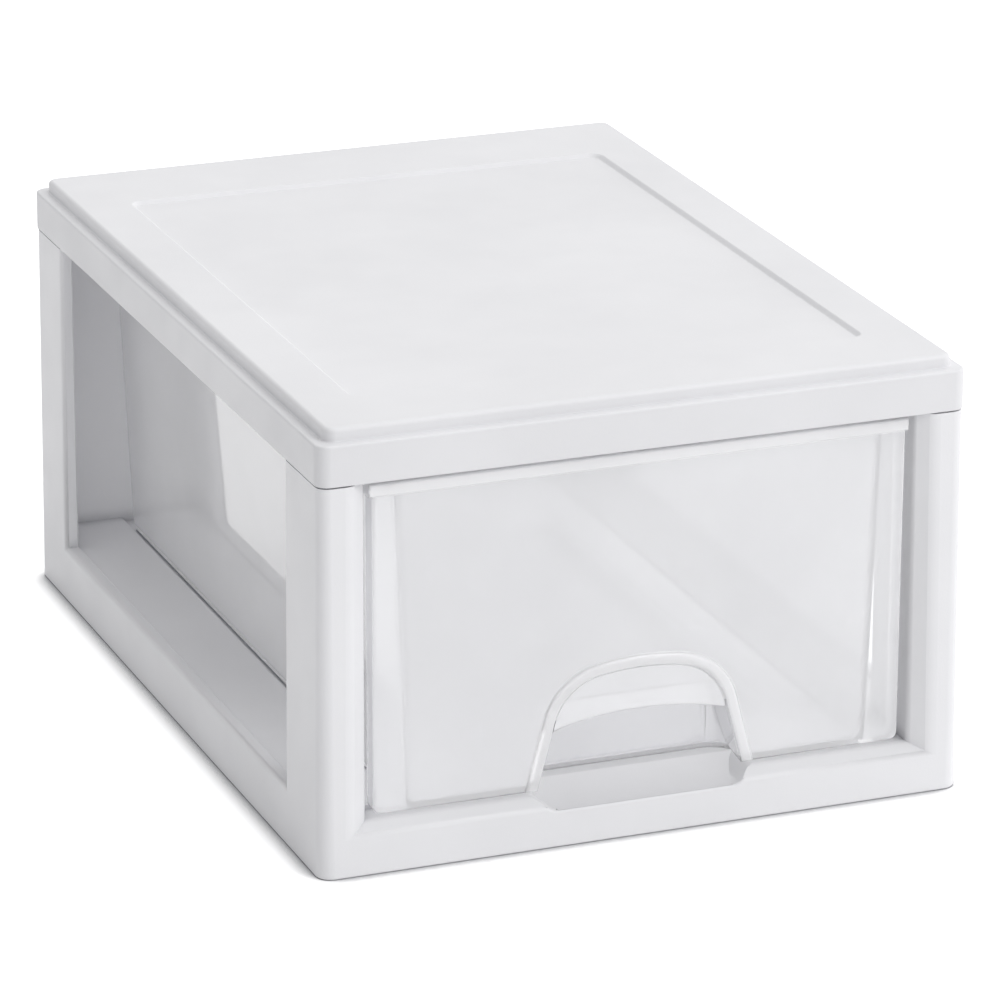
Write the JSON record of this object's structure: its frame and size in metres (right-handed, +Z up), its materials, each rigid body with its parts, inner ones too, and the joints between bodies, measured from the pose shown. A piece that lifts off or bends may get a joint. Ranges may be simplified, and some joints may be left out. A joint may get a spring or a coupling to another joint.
{
  "type": "stackable drawer box",
  "caption": "Stackable drawer box: an open-sided white frame with a cover that clips on and a clear drawer that slides out, pulled by an arched finger grip.",
  "frame": {"origin": "centre of the footprint, on the ground that the box stands on", "axes": "+X to the right seen from the front, +Y to the back, +Z up; the drawer slides out along -Y"},
  "size_m": [0.2716, 0.3716, 0.182],
  "materials": {
    "white_plastic": "fine satin moulded plastic",
    "cover_plastic": "fine satin moulded plastic",
    "clear_plastic": "clear, slightly milky moulded plastic"
  },
  "bodies": {
    "housing": {"frame": "white_plastic", "top_cover": "cover_plastic"},
    "drawer": {"drawer": "clear_plastic"}
  },
  "joints": [
    {"name": "drawer_slide", "type": "slide", "parent": "housing", "child": "drawer", "axis": [0, -1, 0], "range_m": [0, 0.3]}
  ]
}
